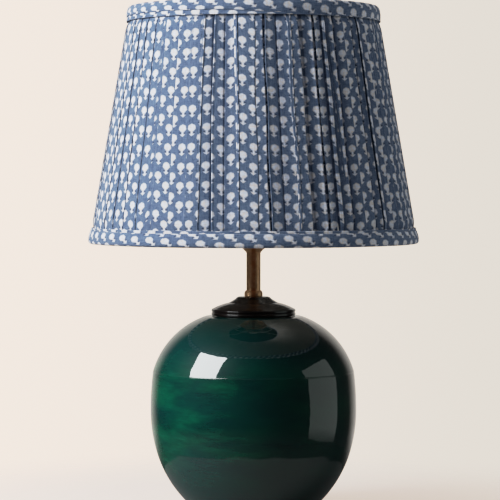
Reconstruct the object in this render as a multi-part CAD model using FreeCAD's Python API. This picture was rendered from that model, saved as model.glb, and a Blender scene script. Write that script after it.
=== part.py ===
"""A table lamp: a glazed ceramic ball jar with a dark turned cap, an aged brass neck and
lampholder, a wire shade carrier, and a gathered fabric shade on a tilting gimbal.

The origin is the centre of the foot, on the surface that the lamp stands on. +Z is up, the
front is -Y, and the gimbal's pivots lie along X. Millimetres throughout.
"""
import FreeCAD, Part

import math
import os

from FreeCAD import Vector

OUT = "parts"
UP = Vector(0, 0, 1)
AXIS_X = Vector(1, 0, 0)
AXIS_Y = Vector(0, 1, 0)
GAP = 0.1                      # clearance of a loose fit

# --- ceramic body ---------------------------------------------------------------------------
FELT_THICK = 1.5
FOOT_R = 60.3
FOOT_INNER_R = 46.0
FOOT_RECESS = 4.5
FLOOR_TOP = 15.0
WALL = 7.0
BELLY_R = 109.3
BELLY_Z = 108.1
BELLY_ARC = 155.6              # arc radius just below the belly
BELLY_TURN = math.radians(15.2)  # where that arc hands over to the foot's arc
FOOT_ARC = 126.6
RIDGE_Z = 149.4                # the fine throwing ridge round the jar
SIDE_ARC = 337.0               # nearly straight side between belly and ridge
SHOULDER_ARC = 87.1
SHOULDER_TURN = math.radians(16.1)
MOUTH_R = 24.0
MOUTH_LAND_Z = 208.3           # the flat land round the mouth, under the cap
LAND_EDGE_R = 53.0             # where the shoulder starts to bend over to the land

# --- flex inlet at the back of the body -----------------------------------------------------
INLET_TURN = math.radians(30)  # how far down the belly-to-foot curve the inlet sits
INLET_BORE_R = 3.75
INLET_NECK_R = 6.0
INLET_FLANGE_R = 8.5
INLET_FLANGE = 1.8

# --- cap, collar and neck -------------------------------------------------------------------
GASKET = 1.0
GASKET_R = 38.5
CAP_R = 44.7
CAP_RIM_Z = 208.5
CAP_RIM_TOP = 215.8
CAP_STEP_R = 26.0
CAP_STEP_Z = 222.0
CAP_TOP_R = 16.0
CAP_TOP_Z = 228.5
CAP_SHOULDER = 3.0
CAP_BRIM = (36.0, 219.1)       # (r, z) halfway up the curve from rim to step
CAP_WAIST = (22.3, 224.2)      # (r, z) halfway up the curve from step to top
COLLAR_R = 9.8
COLLAR_TOP = 235.0
TUBE_R = 7.5
TUBE_BORE = 6.3
TUBE_FOOT = 230.5
NECK_TOP = 274.6
ROD_R = 5.0
ROD_BORE = 3.5
ROD_HOLE = ROD_R + GAP
BRIDGE_Z = 200.2
BRIDGE_LONG = 62.0
BRIDGE_WIDE = 20.0
BRIDGE_THICK = 3.0
WASHER_R = 9.0
WASHER_THICK = 2.0
NUT_FLATS = 17.0
NUT_HIGH = 6.0
ROD_FOOT = 186.0
ROD_TOP = 288.0

# --- lampholder -----------------------------------------------------------------------------
SHEET = 1.2                    # thickness of spun brass
CUP_R = 20.2
CUP_FLARE_TOP = 286.5
CUP_TOP = 301.0
CUP_FLOOR = 279.2              # inside, where the cup's nut sits
CUP_FLARE = (13.2, 280.6)      # (r, z) halfway out along the flare
THREAD_R = 19.6
THREAD_PITCH = 2.0
THREAD_GAP = 0.3
SHELL_R = 18.2
SHELL_TOP = 334.0
LIP_R = 15.4                   # the shell's turned-in lip
LINER_R = 17.6
LINER_BORE = 16.0
LINER_TOP = 332.2
SWITCH_Z = 293.4
SWITCH_R = 2.0
SWITCH_TRAVEL = 6.0
SWITCH_PROUD = 3.0             # from the cup to the pushed-in button
BLOCK_R = 17.0
BLOCK_FOOT = 297.5
BLOCK_TOP = 307.5
TERMINAL_X = 11.0
TERMINAL_LONG = 8.0
TERMINAL_WIDE = 6.0
POCKET_GAP = 0.2
SCREW_SHELL_R = 13.7
SCREW_SHELL_TOP = 331.0
RING_R = 28.5
RING_HIGH = 4.0
RING_NOTCHES = 40
RING_LOW_Z = 309.0

# --- bulb (60 mm globe on a 27 mm screw cap) ------------------------------------------------
BULB_FOOT = 312.3
TIP_R = 4.4
TIP_HIGH = 1.4
BULB_CAP_R = 13.2
BULB_CAP_FOOT = 318.0
BULB_CAP_TOP = 338.0
BULB_R = 30.0
BULB_TOP = 417.0
BULB_GLASS = 1.0
BULB_NECK_R = 11.8
BULB_FLARE = (18.5, 353.0)     # (r, z) between neck and globe
STEM_R = 1.8
STEM_TOP = 384.0
FILAMENTS = 4
FILAMENT_R = 0.9
FILAMENT_LOW = (11.0, 362.0)   # (r, z) of a filament's two ends
FILAMENT_HIGH = (5.5, 398.0)
SUPPORT_R = 0.35
POST_R = 0.7
POST_TOP = 399.6
CAP_PITCH = 3.629

# --- shade carrier --------------------------------------------------------------------------
CARRIER_WIRE = 1.6             # wire radius
CARRIER_PLATE = 1.5
CARRIER_PLATE_R = 26.5
CARRIER_EAR_X = 34.5
CARRIER_EAR_WIDE = 8.0
CARRIER_FOOT_X = 31.5
CARRIER_LOW_Z = RING_LOW_Z + RING_HIGH + GAP / 2
CARRIER_BOW_X = 52.0
CARRIER_BOW_Z = (365.0, 430.0)
HEAD_Z = 488.0
HEAD_FLANGE_R = 19.0
HEAD_FLANGE = 2.0
HEAD_R = 13.9
HEAD_BORE = 8.0
HEAD_TOP = 499.0

# --- shade ----------------------------------------------------------------------------------
SHADE_FOOT = 285.0
SHADE_TOP = 535.0
SHADE_FOOT_R = 174.5           # outside of the gathered cloth at the two ends
SHADE_TOP_R = 128.6
CLOTH_THICK = 2.8
LINING_OFF = 6.5               # from the outside of the cloth to the lining
LINING_THICK = 0.8
WIRE_OFF = 4.6                 # from the outside of the cloth to the wires' centres
RING_WIRE = 2.0
STRUT_WIRE = 1.5
STRUTS = 12
CLOTH_INSET = 6.0              # the cover and lining stop this far inside each edge
TRIM = 1.2
TRIM_PROUD = 1.2
RING_INSET = TRIM + RING_WIRE + 0.2
TRIM_INNER_OFF = 7.5
TRIM_HIGH = 17.0
TRIM_INNER_HIGH = 11.0

# --- gimbal ---------------------------------------------------------------------------------
PIVOT_Z = 519.0
PIN_R = 1.5
SOCKET_R = 3.4
SOCKET_FROM = 111.0
PIN_TIP = 124.5
GIMBAL_Z = HEAD_Z + HEAD_FLANGE + GAP
GIMBAL_R = 21.0
GIMBAL_PLATE = 1.6
GIMBAL_RISE = (58.0, 88.0)     # the arm climbs from one x to the other
GIMBAL_NUT_R = 20.0
GIMBAL_NUT_HIGH = 4.5


class Outline:
    """A closed outline in the X-Z half plane, drawn edge by edge, that is turned about Z."""

    def __init__(self, r, z):
        self.start = self.at = Vector(r, 0, z)
        self.edges = []

    def line(self, r, z):
        end = Vector(r, 0, z)
        self.edges.append(Part.LineSegment(self.at, end).toShape())
        self.at = end
        return self

    def arc(self, via, end):
        """An arc through via to end, each (r, z)."""
        middle, last = (Vector(r, 0, z) for r, z in (via, end))
        self.edges.append(Part.Arc(self.at, middle, last).toShape())
        self.at = last
        return self

    def turned(self):
        self.edges.append(Part.LineSegment(self.at, self.start).toShape())
        face = Part.Face(Part.Wire(self.edges))
        return solid(face.revolve(Vector(0, 0, 0), UP, 360))


def solid(shape):
    """The shape as one positive solid, whatever revolve or sweep wrapped it in."""
    made = shape.Solids[0] if shape.Solids else Part.makeSolid(shape.Shells[0])
    if made.Volume < 0:
        made.reverse()
    return made


def turned(*points):
    """A solid of revolution about Z from straight-sided (r, z) points."""
    outline = Outline(*points[0])
    for r, z in points[1:]:
        outline.line(r, z)
    return outline.turned()


def tube(outer, inner, foot, top):
    return turned((inner, foot), (outer, foot), (outer, top), (inner, top))


def rod(radius, start, end):
    """A round bar between two points."""
    return Part.makeCylinder(radius, (end - start).Length, start, end - start)


def on_circle(centre_r, centre_z, radius, angle):
    """The (r, z) point at an angle above the outward direction on an arc's circle."""
    return centre_r + radius * math.cos(angle), centre_z + radius * math.sin(angle)


def wire_path(points, bend):
    """Straight runs between the points, joined by tangent arcs of one radius."""
    edges, at = [], points[0]
    for before, corner, after in zip(points, points[1:], points[2:]):
        back = (before - corner).normalize()
        on = (after - corner).normalize()
        half = back.getAngle(on) / 2
        reach = bend / math.tan(half)
        first, last = corner + back * reach, corner + on * reach
        middle = corner + (back + on).normalize() * (bend / math.sin(half) - bend)
        edges.append(Part.LineSegment(at, first).toShape())
        edges.append(Part.Arc(first, middle, last).toShape())
        at = last
    edges.append(Part.LineSegment(at, points[-1]).toShape())
    return Part.Wire(edges)


def bent_wire(points, radius, bend):
    """A round wire of one radius along wire_path."""
    path = wire_path(points, bend)
    circle = Part.Wire(Part.makeCircle(radius, points[0], points[1] - points[0]))
    return solid(path.makePipeShell([circle], True, True))


def mirrored(shape):
    """The same piece on the other side of the Y-Z plane."""
    return shape.mirror(Vector(0, 0, 0), AXIS_X)


def hex_nut(foot, high, bore):
    corner = NUT_FLATS / 2 / math.cos(math.radians(30))
    corners = [Vector(*on_circle(0, 0, corner, math.radians(60 * i)), foot) for i in range(7)]
    nut = Part.Face(Part.makePolygon(corners)).extrude(UP * high)
    return nut.cut(Part.makeCylinder(bore, high, Vector(0, 0, foot)))


def notched_ring(outer, inner, foot, high, notches):
    """A flat clamp ring with finger notches round its edge and softened corners."""
    soft = 0.7
    ring = turned((inner, foot), (outer - soft, foot), (outer, foot + soft),
                  (outer, foot + high - soft), (outer - soft, foot + high), (inner, foot + high))
    notch_r = 0.8
    cutters = []
    for i in range(notches):
        x, y = on_circle(0, 0, outer + notch_r / 3, 2 * math.pi * i / notches)
        cutters.append(Part.makeCylinder(notch_r, high, Vector(x, y, foot)))
    return ring.cut(Part.makeCompound(cutters))


def ridged_profile(outline, crest, root, foot, top, pitch):
    """Adds rounded thread ridges to an outline, going up a wall from foot to top."""
    turns = int((top - foot) / pitch)
    step = (top - foot) / turns
    for i in range(turns):
        z = foot + i * step
        outline.line(root, z)
        outline.arc((crest, z + step / 2), (root, z + step * 0.92))
    return outline.line(root, top)


def shade_r(z, inward=0.0):
    """Radius of the gathered cloth's outside at a height, less an inward offset."""
    share = (z - SHADE_FOOT) / (SHADE_TOP - SHADE_FOOT)
    return SHADE_FOOT_R + share * (SHADE_TOP_R - SHADE_FOOT_R) - inward


# --- ceramic body ---------------------------------------------------------------------------

def lower_curve(thick):
    """Centre and radius of the two arcs from belly to foot, moved in by a wall thickness."""
    belly = (BELLY_R - BELLY_ARC, BELLY_Z, BELLY_ARC - thick)
    over = BELLY_ARC - FOOT_ARC
    foot = (belly[0] + over * math.cos(BELLY_TURN), BELLY_Z - over * math.sin(BELLY_TURN),
            FOOT_ARC - thick)
    return belly, foot


def shoulder_curve(thick):
    """Centre and radius of the shoulder arc, which leaves the ridge at a slight angle."""
    side_r = BELLY_R - SIDE_ARC + math.sqrt(SIDE_ARC ** 2 - (RIDGE_Z - BELLY_Z) ** 2)
    centre_r = side_r - SHOULDER_ARC * math.cos(SHOULDER_TURN)
    centre_z = RIDGE_Z - SHOULDER_ARC * math.sin(SHOULDER_TURN)
    return centre_r, centre_z, SHOULDER_ARC - thick


def at_height(curve, z):
    """The (r, z) point of an arc's circle at a height, on its outer side."""
    centre_r, centre_z, radius = curve
    return centre_r + math.sqrt(radius ** 2 - (z - centre_z) ** 2), z


def at_radius(curve, r):
    """The (r, z) point of an arc's circle at a radius, on its upper side."""
    centre_r, centre_z, radius = curve
    return r, centre_z + math.sqrt(radius ** 2 - (r - centre_r) ** 2)


def up_the_wall(outline, foot_z, mouth_r, thick):
    """Draws the jar's wall from a height near the foot up to a radius at the mouth."""
    belly, foot = lower_curve(thick)
    shoulder = shoulder_curve(thick)
    side = (BELLY_R - SIDE_ARC, BELLY_Z, SIDE_ARC - thick)
    joint = on_circle(*belly, -BELLY_TURN)
    foot_mid = at_height(foot, (foot_z + joint[1]) / 2)
    outline.arc(foot_mid, joint)
    outline.arc(on_circle(*belly, -BELLY_TURN / 2), (BELLY_R - thick, BELLY_Z))
    outline.arc(at_height(side, (BELLY_Z + RIDGE_Z) / 2), at_height(side, RIDGE_Z))
    if thick:
        outline.line(*at_height(shoulder, RIDGE_Z))
    outline.arc(at_radius(shoulder, 0.8 * BELLY_R), at_radius(shoulder, mouth_r))
    return outline


def land_edge():
    """Start, middle and end (r, z) of the soft bend from the shoulder to the mouth's flat land."""
    centre_r, _, radius = shoulder_curve(0)
    r, z = at_radius(shoulder_curve(0), LAND_EDGE_R)
    turn = math.asin((r - centre_r) / radius)
    bend = (MOUTH_LAND_Z - z) / (1 - math.cos(turn))
    half = turn / 2
    middle = (r - bend * (math.sin(turn) - math.sin(half)), z + bend * (math.cos(half) - math.cos(turn)))
    return (r, z), middle, (r - bend * math.sin(turn), MOUTH_LAND_Z)


def jar_blank():
    base = FELT_THICK
    edge = 2.0
    _, foot = lower_curve(0)
    outer = Outline(0, base + FOOT_RECESS)
    outer.line(FOOT_INNER_R - edge, base + FOOT_RECESS)
    outer.line(FOOT_INNER_R, base)
    outer.line(FOOT_R, base)
    outer.line(*at_height(foot, base + edge))
    _, bend, land = land_edge()
    up_the_wall(outer, base + edge, LAND_EDGE_R, 0)
    outer.arc(bend, land)
    outer.line(0, MOUTH_LAND_Z)
    _, inner_foot = lower_curve(WALL)
    inner = Outline(0, FLOOR_TOP)
    inner.line(*at_height(inner_foot, FLOOR_TOP))
    up_the_wall(inner, FLOOR_TOP, MOUTH_R, WALL)
    inner.line(MOUTH_R, MOUTH_LAND_Z + WALL)
    inner.line(0, MOUTH_LAND_Z + WALL)
    return outer.turned().cut(inner.turned())


def inlet_axis():
    """Point on the jar's outside at the inlet, and the outward direction there."""
    _, foot = lower_curve(0)
    r, z = on_circle(*foot, -INLET_TURN)
    return Vector(0, r, z), Vector(0, math.cos(INLET_TURN), -math.sin(INLET_TURN))


def inlet_pieces():
    """The rubber grommet, and the hole it needs in the jar."""
    at, out = inlet_axis()
    seat = 0.5                   # the flanges' seats are faced flat in the curved wall
    inside = at - out * (WALL - seat)
    outside = at - out * seat
    neck = rod(INLET_NECK_R, inside, outside)
    flanges = [rod(INLET_FLANGE_R, outside, outside + out * INLET_FLANGE),
               rod(INLET_FLANGE_R, inside - out * INLET_FLANGE, inside)]
    body = neck.fuse(flanges).removeSplitter()
    bore = rod(INLET_BORE_R, inside - out * 2 * INLET_FLANGE, outside + out * 2 * INLET_FLANGE)
    clear = 4.0
    hole = rod(INLET_NECK_R, inside, outside).fuse([
        rod(INLET_FLANGE_R, outside, outside + out * clear),
        rod(INLET_FLANGE_R, inside - out * clear, inside)])
    return body.cut(bore), hole


def foot_felt():
    edge = 1.0
    return tube(FOOT_R - edge, FOOT_INNER_R + edge, 0, FELT_THICK)


# --- cap, collar and neck -------------------------------------------------------------------

def cap_gasket():
    return tube(GASKET_R, MOUTH_R + 0.5, MOUTH_LAND_Z, MOUTH_LAND_Z + GASKET)


def vase_cap():
    seat = MOUTH_LAND_Z + GASKET
    bead = (CAP_RIM_TOP - CAP_RIM_Z) / 2
    groove = 0.9
    skirt_r = 41.0
    spigot_r = MOUTH_R - 0.6
    spigot_z = 206.5
    skin = 2.5                   # wall of the spigot that centres the cap in the mouth
    lip_slope = 0.3
    crown = 4.0                  # thickness of the crown above its hollow
    lip_z = CAP_RIM_Z + lip_slope
    cap = Outline(ROD_HOLE, CAP_STEP_Z)
    cap.line(spigot_r - skin, CAP_STEP_Z - crown)
    cap.line(spigot_r - skin, spigot_z)
    cap.line(spigot_r, spigot_z)
    cap.line(spigot_r, seat)
    cap.line(skirt_r - 2, seat)
    cap.line(skirt_r, lip_z)
    cap.line(CAP_R - groove, CAP_RIM_Z)
    cap.arc((CAP_R, CAP_RIM_Z + bead / 2), (CAP_R - groove, CAP_RIM_Z + bead))
    cap.arc((CAP_R, CAP_RIM_Z + 1.5 * bead), (CAP_R - 1.6, CAP_RIM_TOP))
    cap.arc(CAP_BRIM, (CAP_STEP_R, CAP_STEP_Z))
    cap.line(CAP_STEP_R - 0.8, CAP_STEP_Z + 0.6)
    shoulder = (CAP_TOP_R + CAP_SHOULDER, CAP_TOP_Z - CAP_SHOULDER * 0.75)
    cap.arc(CAP_WAIST, shoulder)
    cap.arc((CAP_TOP_R + 1.0, CAP_TOP_Z - 0.5), (CAP_TOP_R - 1.5, CAP_TOP_Z))
    cap.line(ROD_HOLE, CAP_TOP_Z)
    return cap.turned()


def neck_collar():
    """A bell-shaped ring that the neck tube stands in."""
    collar = Outline(ROD_HOLE, CAP_TOP_Z)
    collar.line(COLLAR_R - 0.6, CAP_TOP_Z)
    collar.line(COLLAR_R, CAP_TOP_Z + 0.8)
    collar.line(COLLAR_R, CAP_TOP_Z + 2.8)
    collar.arc((COLLAR_R - 0.5, COLLAR_TOP - 1.6), (TUBE_R + 0.7, COLLAR_TOP))
    collar.line(TUBE_R + GAP / 2, COLLAR_TOP)
    collar.line(TUBE_R + GAP / 2, TUBE_FOOT)
    collar.line(ROD_HOLE, TUBE_FOOT)
    return collar.turned()


def neck_tube():
    return tube(TUBE_R, TUBE_BORE, TUBE_FOOT, NECK_TOP)


def threaded_rod():
    chamfer = 0.8
    return turned((ROD_BORE, ROD_FOOT), (ROD_R - chamfer, ROD_FOOT), (ROD_R, ROD_FOOT + chamfer),
                  (ROD_R, ROD_TOP - chamfer), (ROD_R - chamfer, ROD_TOP), (ROD_BORE, ROD_TOP))


def neck_bridge():
    """A steel bar under the shoulder that the rod pulls the cap down against."""
    bar = Part.makeBox(BRIDGE_LONG, BRIDGE_WIDE, BRIDGE_THICK,
                       Vector(-BRIDGE_LONG / 2, -BRIDGE_WIDE / 2, BRIDGE_Z))
    ends = Part.makeCylinder(BRIDGE_LONG / 2, BRIDGE_THICK, Vector(0, 0, BRIDGE_Z))
    return bar.common(ends).cut(Part.makeCylinder(ROD_HOLE, BRIDGE_THICK, Vector(0, 0, BRIDGE_Z)))


def lock_washer():
    foot = BRIDGE_Z - WASHER_THICK
    slit_wide = 1.6
    washer = tube(WASHER_R, ROD_HOLE, foot, BRIDGE_Z)
    slit = Part.makeBox(WASHER_R + 1, slit_wide, WASHER_THICK, Vector(0, -slit_wide / 2, foot))
    return washer.cut(slit)


def bridge_nut():
    return hex_nut(BRIDGE_Z - WASHER_THICK - NUT_HIGH, NUT_HIGH, ROD_HOLE)


# --- lampholder -----------------------------------------------------------------------------

def holder_cup():
    """The spun brass cup under the lampholder, with a boss that screws onto the rod."""
    foot_r = TUBE_R + 0.3
    floor_r = 11.0
    switch_gap = 0.35
    across = Vector(0, 1.5 * CUP_R, 0)
    at_switch = UP * SWITCH_Z
    cup = Outline(ROD_HOLE, NECK_TOP)
    cup.line(foot_r, NECK_TOP)
    cup.line(foot_r, NECK_TOP + 0.8)
    cup.arc(CUP_FLARE, (CUP_R - 1.2, CUP_FLARE_TOP - 1.6))
    cup.arc((CUP_R - 0.3, CUP_FLARE_TOP - 0.8), (CUP_R, CUP_FLARE_TOP))
    cup.line(CUP_R, CUP_TOP - 1.4)
    cup.arc((CUP_R + 0.7, CUP_TOP - 0.7), (CUP_R, CUP_TOP))
    cup.line(CUP_R - SHEET, CUP_TOP)
    cup.line(CUP_R - SHEET, CUP_FLARE_TOP + 0.6)
    cup.line(floor_r, CUP_FLOOR)
    cup.line(ROD_HOLE, CUP_FLOOR)
    hole = rod(SWITCH_R + switch_gap, at_switch - across, at_switch + across)
    return cup.turned().cut(hole)


def cup_nut():
    thin = 4.0
    return hex_nut(CUP_FLOOR, thin, ROD_HOLE)


def holder_shell():
    """The threaded brass sleeve that carries the two shade rings."""
    shell = Outline(SHELL_R, CUP_TOP)
    shell.line(THREAD_R, CUP_TOP)
    ridged_profile(shell, THREAD_R, THREAD_R - 0.6, CUP_TOP + 1.0, SHELL_TOP - 2.2, THREAD_PITCH)
    shell.line(THREAD_R, SHELL_TOP - 2.0)
    shell.arc((THREAD_R - 0.5, SHELL_TOP - 0.6), (THREAD_R - 1.8, SHELL_TOP))
    shell.line(LIP_R, SHELL_TOP)
    shell.line(LIP_R, SHELL_TOP - 1.0)
    shell.line(SHELL_R, SHELL_TOP - 2.0)
    return shell.turned()


def holder_liner():
    """The insulating skirt between the shell and the live screw shell."""
    return tube(LINER_R, LINER_BORE, BLOCK_TOP, LINER_TOP)


def holder_block():
    """The moulded insulating block that the contacts are fixed to."""
    block = turned((0, BLOCK_FOOT), (BLOCK_R - 1, BLOCK_FOOT), (BLOCK_R, BLOCK_FOOT + 1),
                   (BLOCK_R, BLOCK_TOP), (0, BLOCK_TOP))
    below = 1.0
    wide, long = TERMINAL_WIDE + 2 * POCKET_GAP, TERMINAL_LONG + 2 * POCKET_GAP
    deep = below + TERMINAL_WIDE + POCKET_GAP
    pockets = []
    for side in (-1, 1):
        corner = Vector(side * TERMINAL_X - wide / 2, -long / 2, BLOCK_FOOT - below)
        pockets.append(Part.makeBox(wide, long, deep, corner))
    return block.cut(Part.makeCompound(pockets))


def terminals():
    """Two brass terminal blocks, each with a wire hole, in the block's pockets."""
    wire_r = 1.3
    wire_y = 1.8
    deep = 4.5
    made = []
    for side in (-1, 1):
        corner = Vector(side * TERMINAL_X - TERMINAL_WIDE / 2, -TERMINAL_LONG / 2, BLOCK_FOOT + GAP)
        block = Part.makeBox(TERMINAL_WIDE, TERMINAL_LONG, TERMINAL_WIDE, corner)
        centre = Vector(side * TERMINAL_X, wire_y, BLOCK_FOOT)
        made.append(block.cut(rod(wire_r, centre, centre + UP * deep)))
    return Part.makeCompound(made)


def terminal_screws():
    """A slotted screw in the underside of each terminal block."""
    head_r, head_high = 1.6, 1.3
    slot = 0.5
    made = []
    for side in (-1, 1):
        centre = Vector(side * TERMINAL_X, -2.0, BLOCK_FOOT + GAP - head_high)
        head = rod(head_r, centre, centre + UP * head_high)
        cutter = Part.makeBox(3 * head_r, slot, slot, centre - Vector(1.5 * head_r, slot / 2, 0))
        made.append(head.cut(cutter))
    return Part.makeCompound(made)


def screw_shell():
    """The live brass thimble that the bulb screws into."""
    floor = BLOCK_TOP + 0.6
    hole_r = 5.5
    outer = SCREW_SHELL_R + 0.7
    return turned((hole_r, BLOCK_TOP), (outer, BLOCK_TOP), (outer, SCREW_SHELL_TOP),
                  (SCREW_SHELL_R, SCREW_SHELL_TOP), (SCREW_SHELL_R, floor), (hole_r, floor))


def centre_contact():
    """A spring tongue riveted to the block, rising to the bulb's tip."""
    low = BLOCK_TOP
    high = BULB_FOOT - GAP
    leaf = 0.5
    wide = 4.0
    side_view = [(-4.5, low), (-1.5, low), (-1.0, low + leaf), (3.0, high - leaf), (3.0, high),
                 (-1.0, high), (-1.6, high - leaf), (1.0, high - leaf), (-1.5, low + leaf),
                 (-4.5, low + leaf), (-4.5, low)]
    profile = Part.makePolygon([Vector(x, -wide / 2, z) for x, z in side_view])
    return Part.Face(profile).extrude(AXIS_Y * wide)


def shade_ring(foot):
    return notched_ring(RING_R, THREAD_R + THREAD_GAP, foot, RING_HIGH, RING_NOTCHES)


def switch_bar():
    """The push-through bar of the switch, out on its back side at rest."""
    reach = CUP_R + SWITCH_PROUD
    start = Vector(0, -reach, SWITCH_Z)
    end = Vector(0, reach + SWITCH_TRAVEL, SWITCH_Z)
    return rod(SWITCH_R, start, end)


def switch_buttons():
    """A domed button on each end of the bar."""
    reach = CUP_R + SWITCH_PROUD
    head_r, head_high = 2.8, 1.6
    dome_r, sunk = 3.4, 0.35
    made = []
    for side, end in ((-1, reach), (1, reach + SWITCH_TRAVEL)):
        foot = Vector(0, side * end, SWITCH_Z)
        out = AXIS_Y * side
        face = foot + out * head_high
        head = rod(head_r, foot, face)
        dome = Part.makeSphere(dome_r, foot - out * sunk).common(rod(head_r, face, face + out * dome_r))
        made.append(head.fuse(dome).removeSplitter())
    return Part.makeCompound(made)


def switch_block():
    """The small moulded guide that the bar slides through, over the rod's end."""
    wide, long, high = 11.0, 15.0, 8.0
    block = Part.makeBox(wide, long, high, Vector(-wide / 2, -long / 2, ROD_TOP + 1.0))
    ends = [Vector(0, y, SWITCH_Z) for y in (-long, long)]
    return block.cut(rod(SWITCH_R + GAP, *ends))


# --- bulb -----------------------------------------------------------------------------------

def bulb_glass():
    """The clear globe, blown thin, with its neck cemented in the cap."""
    centre_z = BULB_TOP - BULB_R
    neck_z = BULB_CAP_TOP - 6.0
    low_turn, mid_turn = math.radians(-38), math.radians(20)

    def skin(inward):
        globe = BULB_R - inward
        joint = on_circle(0, centre_z, globe, low_turn)
        side = on_circle(0, centre_z, globe, mid_turn)
        return (BULB_FLARE[0] - inward, BULB_FLARE[1]), joint, side

    slope, joint, side = skin(0)
    glass = Outline(BULB_NECK_R, neck_z)
    glass.line(BULB_NECK_R, BULB_CAP_TOP)
    glass.arc(slope, joint)
    glass.arc(side, (0, BULB_TOP))
    glass.line(0, BULB_TOP - BULB_GLASS)
    slope, joint, side = skin(BULB_GLASS)
    glass.arc(side, joint)
    glass.arc(slope, (BULB_NECK_R - BULB_GLASS, BULB_CAP_TOP))
    glass.line(BULB_NECK_R - BULB_GLASS, neck_z)
    return glass.turned()


def bulb_cap():
    """The screw cap, pressed thin, with rounded thread ridges."""
    root = BULB_CAP_R - 0.9
    bore = root - 0.4
    hole = root - 2.3
    floor = BULB_CAP_FOOT + 1.2
    cap = Outline(hole, BULB_CAP_FOOT)
    cap.line(root - 1.0, BULB_CAP_FOOT)
    ridged_profile(cap, BULB_CAP_R, root, BULB_CAP_FOOT + 0.8, BULB_CAP_TOP - 5.0, CAP_PITCH)
    cap.line(root + 0.6, BULB_CAP_TOP)
    cap.line(bore, BULB_CAP_TOP)
    cap.line(bore, floor)
    cap.line(hole, floor)
    return cap.turned()


def bulb_insulator():
    """The black glass cone between the cap and its tip."""
    foot, top = BULB_FOOT + TIP_HIGH, BULB_CAP_FOOT - GAP
    return turned((0, foot), (TIP_R + 0.2, foot), (9.8, top), (0, top))


def bulb_tip():
    tip = Outline(0, BULB_FOOT)
    tip.arc((3.0, BULB_FOOT + 0.4), (TIP_R, BULB_FOOT + TIP_HIGH))
    tip.line(0, BULB_FOOT + TIP_HIGH)
    return tip.turned()


def bulb_stem():
    """The glass stem that the filaments hang on."""
    foot = BULB_CAP_TOP - 8
    return turned((0, foot), (7.0, foot), (7.0, foot + 5), (3.0, foot + 16), (STEM_R, foot + 22),
                  (STEM_R, STEM_TOP), (0, STEM_TOP))


def filament_ends(i):
    """The low and high end of one filament."""
    turn = 2 * math.pi * (i + 0.5) / FILAMENTS
    return [Vector(*on_circle(0, 0, r, turn), z) for r, z in (FILAMENT_LOW, FILAMENT_HIGH)]


def bulb_filaments():
    """Straight filament sticks, leaning in to the top of the stem."""
    return Part.makeCompound([rod(FILAMENT_R, *filament_ends(i)) for i in range(FILAMENTS)])


def bulb_supports():
    """The fine wires that hold the filaments' ends, cut flush where they meet them."""
    foot_r, foot_z = 2.7, BULB_CAP_TOP + 12
    post = rod(POST_R, UP * (STEM_TOP + GAP), UP * POST_TOP)
    made = [post]
    for i in range(FILAMENTS):
        low, high = filament_ends(i)
        stick = rod(FILAMENT_R, low, high)
        foot = Vector(low.x, low.y, 0).normalize() * foot_r + UP * foot_z
        top = UP * (POST_TOP - POST_R)
        made.append(solid(rod(SUPPORT_R, foot, low).cut(stick)))
        made.append(solid(rod(SUPPORT_R, high, top).cut(stick).cut(post)))
    return Part.makeCompound(made)


# --- shade carrier --------------------------------------------------------------------------

def carrier_ring():
    """The flat ring of the carrier, clamped between the two shade rings."""
    bore = THREAD_R + THREAD_GAP
    plate = tube(CARRIER_PLATE_R, bore, CARRIER_LOW_Z, CARRIER_LOW_Z + CARRIER_PLATE)
    ears = Part.makeBox(2 * CARRIER_EAR_X, CARRIER_EAR_WIDE, CARRIER_PLATE,
                        Vector(-CARRIER_EAR_X, -CARRIER_EAR_WIDE / 2, CARRIER_LOW_Z))
    hole = Part.makeCylinder(bore, CARRIER_PLATE, Vector(0, 0, CARRIER_LOW_Z))
    return plate.fuse(ears).cut(hole).removeSplitter()


def carrier_arm():
    """One bowed wire from the clamped ring up to the carrier's head."""
    foot_z = CARRIER_LOW_Z + CARRIER_PLATE
    bend = 15.0
    side_view = [(CARRIER_FOOT_X, foot_z), (CARRIER_FOOT_X, foot_z + 18),
                 (CARRIER_BOW_X, CARRIER_BOW_Z[0]), (CARRIER_BOW_X, CARRIER_BOW_Z[1]),
                 (34.0, HEAD_Z - 16), (15.5, HEAD_Z)]
    wire = bent_wire([Vector(x, 0, z) for x, z in side_view], CARRIER_WIRE, bend)
    return wire.cut(Part.makeCylinder(CARRIER_FOOT_X, HEAD_R, Vector(0, 0, HEAD_Z)))


def carrier_head():
    """The small threaded post on top of the carrier that the gimbal ring sits on."""
    thread = 0.6
    head = Outline(HEAD_BORE, HEAD_Z)
    head.line(HEAD_FLANGE_R, HEAD_Z)
    head.line(HEAD_FLANGE_R, HEAD_Z + HEAD_FLANGE)
    head.line(HEAD_R - thread, HEAD_Z + HEAD_FLANGE)
    ridged_profile(head, HEAD_R, HEAD_R - thread, HEAD_Z + HEAD_FLANGE + 0.5, HEAD_TOP - 1.0, 1.5)
    head.line(HEAD_R - 2 * thread, HEAD_TOP)
    head.line(HEAD_BORE, HEAD_TOP)
    return head.turned()


def gimbal_nut():
    foot = GIMBAL_Z + GIMBAL_PLATE + GAP
    notches = 30
    return notched_ring(GIMBAL_NUT_R, HEAD_R + 0.2, foot, GIMBAL_NUT_HIGH, notches)


# --- gimbal ---------------------------------------------------------------------------------

def gimbal_ring():
    return tube(GIMBAL_R, HEAD_R + 0.5, GIMBAL_Z, GIMBAL_Z + GIMBAL_PLATE)


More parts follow.
